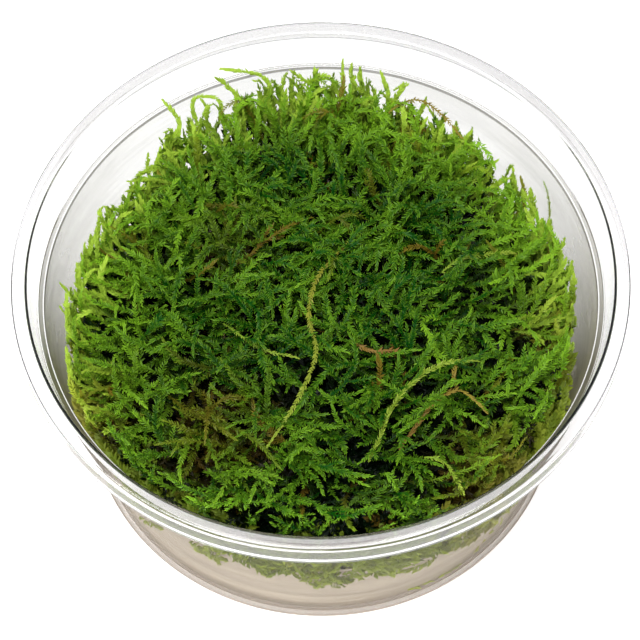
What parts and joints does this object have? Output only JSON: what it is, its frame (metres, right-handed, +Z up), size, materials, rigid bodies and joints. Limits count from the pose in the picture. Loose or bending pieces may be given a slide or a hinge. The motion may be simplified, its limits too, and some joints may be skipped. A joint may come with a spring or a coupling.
{
  "type": "moss clump in a plastic cup",
  "caption": "Round clump of green aquarium moss on culture gel in an open clear plastic cup with a rolled rim.",
  "frame": {"origin": "centre of the cup's base, on the surface it stands on", "axes": "+Z up along the cup's axis, towards its open mouth; -Y is the side seen in front"},
  "size_m": [0.101, 0.101, 0.0466],
  "materials": {
    "clear_plastic": "clear thin plastic, hazy below the collar",
    "culture_gel": "cloudy pale gel",
    "moss_green": "fine moist leaves, yellow-green at the tips",
    "pale_shoot": "fine moist leaves, yellow-green",
    "old_shoot": "old leaves turned olive and brown"
  },
  "bodies": {
    "root": {"cup": "clear_plastic", "gel": "culture_gel", "moss": "moss_green", "long_shoot": "pale_shoot", "forked_old_shoot": "old_shoot", "pale_front_shoot": "pale_shoot", "arching_back_shoot": "old_shoot", "left_shoot": "pale_shoot", "right_shoot": "pale_shoot", "short_brown_shoot": "old_shoot", "drooping_front_shoot": "pale_shoot"}
  },
  "joints": []
}
